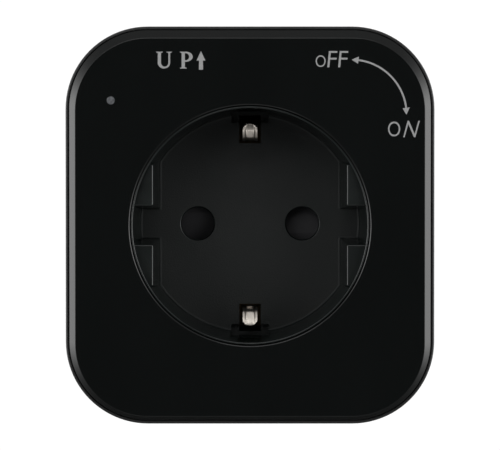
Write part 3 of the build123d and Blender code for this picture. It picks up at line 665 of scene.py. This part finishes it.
class SOCKET_OT_cup(bpy.types.Operator):
    """Build the recess with its guide blocks, pin holes and openings for the earth clips"""

    bl_idname = "track_socket.cup"
    bl_label = "Recess"

    def execute(self, context):
        sizes = context.scene.socket_sizes
        floor_y = FACE_Y + sizes.recess_depth / MM
        back_y = floor_y + sizes.recess_floor / MM
        lip_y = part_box("socket_cup")[0].y / MM
        floor_radius = sizes.floor_radius / MM
        lip_inner = floor_radius + (floor_y - lip_y) * DRAFT
        lip_outer = lip_inner + sizes.lip / MM
        outer = floor_radius + CUP_WALL
        flange_y = FACE_Y + FLANGE_DEPTH
        shoulder_y = FACE_Y + SHOULDER_DEPTH
        cup = turned(
            [
                (0, floor_y, 0), (floor_radius, floor_y, sizes.floor_fillet / MM),
                (lip_inner, lip_y, LIP_INNER_ROUND), (lip_outer, lip_y, LIP_OUTER_ROUND),
                (lip_outer, shoulder_y, 0), (outer, shoulder_y, 0),
                (outer, flange_y, 0), (outer + FLANGE, flange_y, 0),
                (outer + FLANGE, flange_y + FLANGE_THICK, 0), (outer, flange_y + FLANGE_THICK, 0),
                (outer, back_y, 0), (0, back_y, 0),
            ],
            192,
        )
        cup = combine(cup, self.guide_blocks(sizes, floor_y), "UNION")
        cutters = [
            hole_cutter(sizes.pin_hole / MM, floor_y, back_y, sizes.pin_edge / MM, 72, (x, 0))
            for x in (-sizes.pin_spacing / MM / 2, sizes.pin_spacing / MM / 2)
        ]
        pocket_y = FACE_Y + POCKET_DEPTH
        for side in (1, -1):
            for half, near, far, front, back in (
                (SLOT_HALF, SLOT_INNER, SLOT_TEE + 0.5, floor_y - CUT_PAST, back_y + CUT_PAST),
                (SLOT_HALF + NUDGE, SLOT_TEE, floor_radius - 0.2, floor_y - CUT_PAST, back_y + CUT_PAST),
                (SLOT_TEE_HALF, SLOT_TEE + NUDGE, TEE_TO, pocket_y + NUDGE, floor_y + TEE_DEEP),
                (SLOT_HALF - NUDGE, SLOT_TEE + 2 * NUDGE, POCKET_TO, pocket_y, floor_y + 0.3),
            ):
                low, high = sorted((side * near, side * far))
                cutters.append(block((-half, front, low), (half, back, high)))
        cup = combine(cup, cutters, "DIFFERENCE")
        finish_piece(cup, "recess_cup", "housing", ["socket_cup"], FINISHES["cup_plastic"], 32)
        return {"FINISHED"}

    def guide_blocks(self, sizes, floor_y):
        """The four drafted blocks: rounded at the front, flared at the floor, sunk at the back in the wall."""
        front_y = FACE_Y + sizes.guide_front / MM
        flat, notch, top = sizes.guide_flat / MM, sizes.guide_notch / MM, sizes.guide_height / MM
        fillet = sizes.floor_fillet / MM
        foot_y = floor_y - fillet
        wall_radius = sizes.floor_radius / MM + (floor_y - front_y) * DRAFT
        draw_in = (foot_y - front_y) * DRAFT
        blocks = []
        for side_x in (1, -1):
            for side_z in (1, -1):
                bm = block((flat, front_y, notch), (wall_radius + 2, foot_y, top))
                self.spread_foot([v for v in bm.verts if v.co.y > foot_y - 0.01], wall_radius, draw_in)
                free = [
                    e for e in bm.edges
                    if all(v.co.y < front_y + 0.01 for v in e.verts)
                    and not all(v.co.x > wall_radius for v in e.verts)
                    or abs(e.verts[0].co.y - e.verts[1].co.y) > 1
                    and all(v.co.x < wall_radius for v in e.verts)
                ]
                round_edges(bm, free, sizes.guide_edge / MM, 4)
                self.flare(bm, foot_y, fillet, wall_radius)
                bmesh.ops.scale(bm, verts=bm.verts, vec=(side_x, 1, side_z))
                bmesh.ops.recalc_face_normals(bm, faces=bm.faces)
                sunk_radius = wall_radius + BLOCK_SUNK
                sunk = turned(
                    [
                        (0, front_y - CUT_PAST, 0), (sunk_radius, front_y - CUT_PAST, 0),
                        (sunk_radius, floor_y + CUT_PAST, 0), (0, floor_y + CUT_PAST, 0),
                    ],
                    192,
                )
                blocks.append(combine(bm, [sunk], "INTERSECT"))
        return blocks

    def spread_foot(self, verts, wall_radius, by):
        """Move the foot of a block outwards on its three free sides."""
        middle = sum(v.co.z for v in verts) / len(verts)
        for vert in verts:
            vert.co.x -= by if vert.co.x < wall_radius else 0
            vert.co.z += by if vert.co.z > middle else -by

    def flare(self, bm, foot_y, fillet, wall_radius):
        """Run the foot of a block out into the floor, and a little below it."""
        face = max(bm.faces, key=lambda f: f.calc_center_median().y)
        steps, spread = 5, 0.0
        for step in range(1, steps + 2):
            angle = min(pi / 2, pi / 2 * step / steps)
            made = bmesh.ops.extrude_face_region(bm, geom=[face])["geom"]
            bmesh.ops.delete(bm, geom=[face], context="FACES_ONLY")
            face = next(g for g in made if isinstance(g, bmesh.types.BMFace))
            depth = foot_y + fillet * sin(angle) + (BLOCK_UNDER if step > steps else 0)
            for vert in face.verts:
                vert.co.y = depth
            self.spread_foot(face.verts, wall_radius, fillet * (1 - cos(angle)) - spread)
            spread = fillet * (1 - cos(angle))


class SOCKET_OT_clips(bpy.types.Operator):
    """Build the two earth clips: plated strip with a pressed middle, a crest and a rounded tip"""

    bl_idname = "track_socket.clips"
    bl_label = "Earth clips"

    def execute(self, context):
        sizes = context.scene.socket_sizes
        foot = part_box("earth_clip_top")[1].y / MM - CLIP_THICK / 2
        foot_depth = foot - FACE_Y
        # radius, depth and rounding along the strip's middle, from its tip to its foot
        line = (*CLIP_LINE, (CLIP_LINE[-1][0], foot_depth, CLIP_KNEE_ROUND), (CLIP_FOOT_TO, foot_depth, 0))
        half, rib = sizes.clip_width / MM / 2, sizes.clip_rib / MM
        # half widths across the strip, and how far each line stands out of it
        flank = [(1.0, 0), (0.94, rib), (0.64, rib), (0.54, 0), (0.25, CLIP_CHANNEL_LIFT)]
        across = [(-half * part, lift) for part, lift in flank]
        across += [(half * part, lift) for part, lift in flank[::-1]]
        for name, side in (("earth_clip_top", 1), ("earth_clip_bottom", -1)):
            points = [(0, FACE_Y + depth, radius) for radius, depth, _ in line]
            bm = rounded_line(points, [row[2] for row in line], 6)
            self.widen(bm, across)
            self.round_tip(bm, half)
            bmesh.ops.recalc_face_normals(bm, faces=bm.faces)
            bmesh.ops.solidify(bm, geom=bm.faces[:], thickness=CLIP_THICK)
            rim = [e for e in bm.edges if e.is_manifold and e.calc_face_angle() > 1.0]
            round_edges(bm, rim, CLIP_EDGE, 2)
            if side < 0:
                bmesh.ops.rotate(bm, verts=bm.verts, cent=(0, 0, 0), matrix=Matrix.Rotation(pi, 3, "Y"))
            bmesh.ops.recalc_face_normals(bm, faces=bm.faces)
            finish_piece(bm, name + "_strip", name, [name], FINISHES["clip_metal"], 50)
        return {"FINISHED"}

    def widen(self, bm, across):
        """Sweep the strip's line sideways in steps, with its ribs pressed up."""
        bmesh.ops.translate(bm, verts=bm.verts, vec=(across[0][0], 0, 0))
        edges, at = bm.edges[:], across[0][0]
        rows = [bm.verts[:]]
        for x, _ in across[1:]:
            made = bmesh.ops.extrude_edge_only(bm, edges=edges)["geom"]
            verts = [g for g in made if isinstance(g, bmesh.types.BMVert)]
            edges = [
                g for g in made
                if isinstance(g, bmesh.types.BMEdge) and all(abs(v.co.x - at) < 1e-5 for v in g.verts)
            ]
            bmesh.ops.translate(bm, verts=verts, vec=(x - at, 0, 0))
            rows.append(verts)
            at = x
        bmesh.ops.recalc_face_normals(bm, faces=bm.faces)
        bm.normal_update()
        out = {v: v.normal.copy() for v in bm.verts}
        flip = -1 if max(bm.verts, key=lambda v: -v.co.y).normal.y > 0 else 1
        for verts, (_, lift) in zip(rows, across):
            for vert in verts:
                vert.co += flip * lift * out[vert]

    def round_tip(self, bm, half):
        """Draw the tip out into a round end."""
        tip = min(v.co.y for v in bm.verts)
        end = max(v.co.z for v in bm.verts if v.co.y < tip + 0.6)
        for vert in bm.verts:
            if vert.co.y < tip + 0.8 and vert.co.z > end - CLIP_TIP_LENGTH:
                along = (vert.co.z - (end - CLIP_TIP_LENGTH)) / CLIP_TIP_LENGTH
                vert.co.z += CLIP_TIP_OUT * along * (1 - (vert.co.x / half) ** 2)
                vert.co.x *= 1 - CLIP_TIP_NARROWS * along ** 2


class SOCKET_OT_marks(bpy.types.Operator):
    """Print the words for up, off and on, the up arrow and the quarter-turn arrow"""

    bl_idname = "track_socket.marks"
    bl_label = "Marks"

    def execute(self, context):
        rise = context.scene.socket_sizes.mark_rise / MM
        bm = bmesh.new()
        # word, middle across the face, width, height and lean
        for word, middle, width, height, lean in (
            ("O", (12.4, 28.85), 1.75, 2.05, 0.0),
            ("F", (14.45, 29.2), 1.5, 2.85, 0.1),
            ("F", (16.35, 29.2), 1.5, 2.85, 0.1),
            ("O", (25.3, 16.95), 2.15, 2.6, 0.0),
            ("N", (28.35, 16.95), 2.15, 2.9, 0.27),
        ):
            self.add_word(bm, word, middle, width, height, lean)
        self.add_plates(bm, [self.letter_u((-16.6, 27.55))])
        self.add_plates(bm, self.letter_p((-12.35, 27.55)))
        self.add_plates(bm, [self.up_arrow((-8.6, 28.98))])
        self.add_plates(bm, [self.turn_arrow((17.83, 19.45), 9.65)])
        bmesh.ops.scale(bm, verts=bm.verts, vec=(1, 2 * rise / MARK_THICK, 1))
        bmesh.ops.translate(bm, verts=bm.verts, vec=(0, FACE_Y + rise, 0))
        finish_piece(bm, "face_marks", "housing", [], FINISHES["mark_ink"])
        return {"FINISHED"}

    def add_word(self, bm, word, middle, width, height, lean):
        """A letter cut from thin sheet, standing on the plane of the face."""
        text = bpy.data.curves.new(word, "FONT")
        text.body = word
        text.extrude = 0.5
        text.offset = LETTER_THIN
        text.resolution_u = 6
        holder = bpy.data.objects.new(word, text)
        bpy.context.scene.collection.objects.link(holder)
        flat = evaluated_mesh(holder)
        bpy.data.objects.remove(holder)
        low = Vector([min(v.co[i] for v in flat.vertices) for i in range(3)])
        high = Vector([max(v.co[i] for v in flat.vertices) for i in range(3)])
        size, centre = high - low, (low + high) / 2
        stretch = Matrix.Diagonal((width / size.x, height / size.y, MARK_THICK / size.z, 1))
        slant = Matrix.Identity(4)
        slant[0][1] = lean
        upright = Matrix.Rotation(pi / 2, 4, "X")
        place = Matrix.Translation((middle[0], 0, middle[1]))
        flat.transform(place @ upright @ slant @ stretch @ Matrix.Translation(-centre))
        bm.from_mesh(flat)

    def add_plates(self, bm, outlines):
        """Thin plates with these outlines across the face, joined where they share corners."""
        sheet = bmesh.new()
        for outline in outlines:
            sheet.faces.new([sheet.verts.new((x, MARK_THICK / 2, z)) for x, z in outline])
        bmesh.ops.remove_doubles(sheet, verts=sheet.verts, dist=1e-4)
        made = bmesh.ops.extrude_face_region(sheet, geom=sheet.faces[:])["geom"]
        raised = [v for v in made if isinstance(v, bmesh.types.BMVert)]
        bmesh.ops.translate(sheet, verts=raised, vec=(0, -MARK_THICK, 0))
        bmesh.ops.recalc_face_normals(sheet, faces=sheet.faces)
        mesh = bpy.data.meshes.new("plates")
        sheet.to_mesh(mesh)
        sheet.free()
        bm.from_mesh(mesh)
        bpy.data.meshes.remove(mesh)

    def letter_u(self, corner):
        """A U with a thick stem, a thin one and short feet on top, from the lower left of its outline."""
        top, foot, bend = LETTER_HEIGHT, 0.22, 1.0
        outline = [(0.12, top), (0.12, top - 0.1), (0.42, top - foot), (0.42, bend)]
        outline += ellipse((1.51, bend), (1.09, bend), 188, 352, 14)
        outline += [(2.6, bend), (2.6, top - foot), (2.93, top - 0.1), (2.93, top), (1.95, top), (1.95, top - 0.1),
                    (2.27, top - foot), (2.27, bend)]
        outline += ellipse((1.63, bend), (0.64, bend - 0.34), 350, 190, 12)
        outline += [(0.99, bend), (0.99, top - foot), (1.3, top - 0.1), (1.3, top)]
        return [(corner[0] + x, corner[1] + z) for x, z in outline]

    def letter_p(self, corner):
        """A P with a thick stem on a foot and a bowl in two halves, from the lower left of its outline."""
        top, middle, stem = LETTER_HEIGHT, 2.07, 0.93
        outer = ellipse((1.1, middle), (1.2, top - middle), 90, -90, 24)
        inner = ellipse((1.02, middle), (0.64, 0.63), 80, -80, 16)
        split = len(inner) // 2
        upper = [(0.05, top)] + outer[:13] + inner[split::-1] + [(stem, middle + 0.63), (stem, middle - 0.63)]
        upper += [(stem, 2 * middle - top), (stem, 0.22), (1.25, 0.12), (1.25, 0), (0.05, 0), (0.05, 0.12),
                  (0.35, 0.22), (0.35, top - 0.22), (0.05, top - 0.12)]
        lower = outer[12:] + [(stem, 2 * middle - top), (stem, middle - 0.63)] + inner[:split - 1:-1]
        return [[(corner[0] + x, corner[1] + z) for x, z in outline] for outline in (upper, lower)]

    def up_arrow(self, middle):
        """An arrow that points up, its head wider than its shaft."""
        x, z = middle
        head, shaft, half = 0.78, 0.36, 1.63
        outline = [(-shaft, -half), (shaft, -half), (shaft, -0.03), (head, -0.03), (0, half), (-head, -0.03),
                   (-shaft, -0.03)]
        return [(x + dx, z + dz) for dx, dz in outline]

    def turn_arrow(self, centre, radius):
        """A quarter circle with an arrowhead at each end."""
        half, barb, head = 0.16, 0.64, 7.2

        def around(extra, angle):
            return ellipse(centre, (radius + extra, radius + extra), angle, angle, 0)

        outline = ellipse(centre, (radius + half, radius + half), head, 90 - head, 40)
        outline += around(barb, 90 - head) + around(0, 90) + around(-barb, 90 - head)
        outline += ellipse(centre, (radius - half, radius - half), 90 - head, head, 40)
        return outline + around(-barb, head) + around(0, 0) + around(barb, head)


def ellipse(centre, radii, start, end, steps):
    """Points of an ellipse from one angle to another, in degrees."""
    angles = [radians(start + (end - start) * i / max(1, steps)) for i in range(steps + 1)]
    return [(centre[0] + radii[0] * cos(a), centre[1] + radii[1] * sin(a)) for a in angles]


class SOCKET_OT_stage(bpy.types.Operator):
    """Set up the camera, the soft lights, the pale floor and the white surroundings"""

    bl_idname = "track_socket.stage"
    bl_label = "Stage"

    def execute(self, context):
        stage = context.scene.socket_stage
        scene = context.scene
        target = Vector((0, FACE_Y * MM, TARGET_RISE))
        lens = bpy.data.cameras.new("camera")
        lens.sensor_width = SENSOR_WIDTH
        lens.lens = SENSOR_WIDTH * stage.distance / stage.view_width
        lens.clip_start = 0.01
        camera = bpy.data.objects.new("camera", lens)
        towards = Vector((0, -cos(stage.elevation), sin(stage.elevation)))
        camera.location = target + towards * stage.distance
        camera.rotation_euler = (-towards).to_track_quat("-Z", "Y").to_euler()
        scene.collection.objects.link(camera)
        scene.camera = camera
        self.floor(stage)
        self.lights(stage, target)
        self.surroundings(scene, stage)
        scene.view_settings.view_transform = "Standard"
        return {"FINISHED"}

    def floor(self, stage):
        """A wide pale floor some way below the part, which its track holds up."""
        bm = bmesh.new()
        bmesh.ops.create_circle(bm, cap_ends=True, segments=96, radius=1.6)
        bmesh.ops.translate(bm, verts=bm.verts, vec=(0, 0, -stage.floor_drop))
        floor = as_object(bm, "floor")
        finish = Finish("floor paint", (0.78, 0.78, 0.78), 0.7)
        finish.set("Roughness", finish.spread(finish.noise(40.0, 2.0), 0.62, 0.78))
        floor.data.materials.append(finish.material)
        floor.visible_glossy = False

    def lights(self, stage, target):
        """A soft key above the camera, weak fills above and below the part and a large soft light behind it."""
        # name, place from the target, width, height and radiance
        for name, place, width, height, glow in (
            ("key", (-0.07, -0.54, 0.26), 0.28, 0.16, stage.key_glow),
            ("low_fill", (0.0, -0.3, -0.34), 0.3, 0.16, stage.fill_glow),
            ("high_fill", (0.0, -0.3, 0.36), 0.3, 0.16, stage.fill_glow),
            ("back_light", (0.0, 0.6, 0.5), 0.6, 0.4, 1.6),
        ):
            lamp = bpy.data.lights.new(name, "AREA")
            lamp.shape = "RECTANGLE"
            lamp.size, lamp.size_y = width, height
            lamp.energy = glow * pi * width * height
            holder = bpy.data.objects.new(name, lamp)
            holder.location = target + Vector(place)
            holder.rotation_euler = (-Vector(place)).to_track_quat("-Z", "Y").to_euler()
            holder.visible_camera = False
            bpy.context.scene.collection.objects.link(holder)

    def surroundings(self, scene, stage):
        """White to look at; as a light, two soft banks level with the part, a dim top and a dark front."""
        world = bpy.data.worlds.new("surroundings")
        scene.world = world
        world.use_nodes = True
        made = Graph(world.node_tree)
        made.tree.nodes.clear()
        x, y, z = made.axes(made.node("ShaderNodeTexCoord").outputs["Generated"])
        sideways = made.spread(x * x, 0.0, 1.0, 0.12, 0.42)
        bank = sideways * ((z - BANK_RISE) * (1 / BANK_SPREAD)).bell()
        front = made.spread(y * -1.0, 1.0, 0.0, 0.6, 0.93)
        belt = made.spread(y * -1.0, 0.0, 1.0, 0.2, 0.5) * made.spread(z * z, 0.0, 1.0, 0.1, 0.35)
        ambient = (z * 0.16 + 0.17 + belt * 0.6) * front + 0.025
        glow = made.node("ShaderNodeBackground", None, {"Strength": bank * stage.side_glow + ambient})
        white = made.node("ShaderNodeBackground", None, {"Color": (1, 1, 1, 1), "Strength": 1.05})
        seen = made.node("ShaderNodeLightPath").outputs["Is Camera Ray"]
        mix = made.node("ShaderNodeMixShader", None, {0: seen, 1: glow.outputs[0], 2: white.outputs[0]})
        made.node("ShaderNodeOutputWorld", None, {"Surface": mix.outputs[0]})


class SOCKET_PT_panel(bpy.types.Panel):
    """The pieces of the track socket, in the order they are built"""

    bl_idname = "SOCKET_PT_panel"
    bl_label = "Track Socket"
    bl_space_type = "VIEW_3D"
    bl_region_type = "UI"
    bl_category = "Track Socket"

    def draw(self, context):
        layout = self.layout
        for operator in OPERATORS:
            layout.operator(operator.bl_idname)
        for group in (context.scene.socket_sizes, context.scene.socket_colours, context.scene.socket_stage):
            for name in group.bl_rna.properties.keys():
                if name not in ("rna_type", "name"):
                    layout.prop(group, name)


OPERATORS = (
    SOCKET_OT_finishes, SOCKET_OT_face_plate, SOCKET_OT_cup, SOCKET_OT_clips, SOCKET_OT_marks, SOCKET_OT_stage,
)
GROUPS = {"socket_sizes": SocketSizes, "socket_colours": SocketColours, "socket_stage": StageSettings}


def register():
    """Register the classes and hang the settings on the scene."""
    for cls in (*GROUPS.values(), *OPERATORS, SOCKET_PT_panel):
        bpy.utils.register_class(cls)
    for name, group in GROUPS.items():
        setattr(bpy.types.Scene, name, bpy.props.PointerProperty(type=group))


def unregister():
    """Take the settings off the scene and unregister the classes."""
    for name in GROUPS:
        delattr(bpy.types.Scene, name)
    for cls in reversed((*GROUPS.values(), *OPERATORS, SOCKET_PT_panel)):
        bpy.utils.unregister_class(cls)


def main():
    """Build everything."""
    register()
    bpy.ops.track_socket.finishes()
    bpy.ops.track_socket.face_plate()
    bpy.ops.track_socket.cup()
    bpy.ops.track_socket.clips()
    bpy.ops.track_socket.marks()
    bpy.ops.track_socket.stage()


if __name__ == "__main__":
    main()
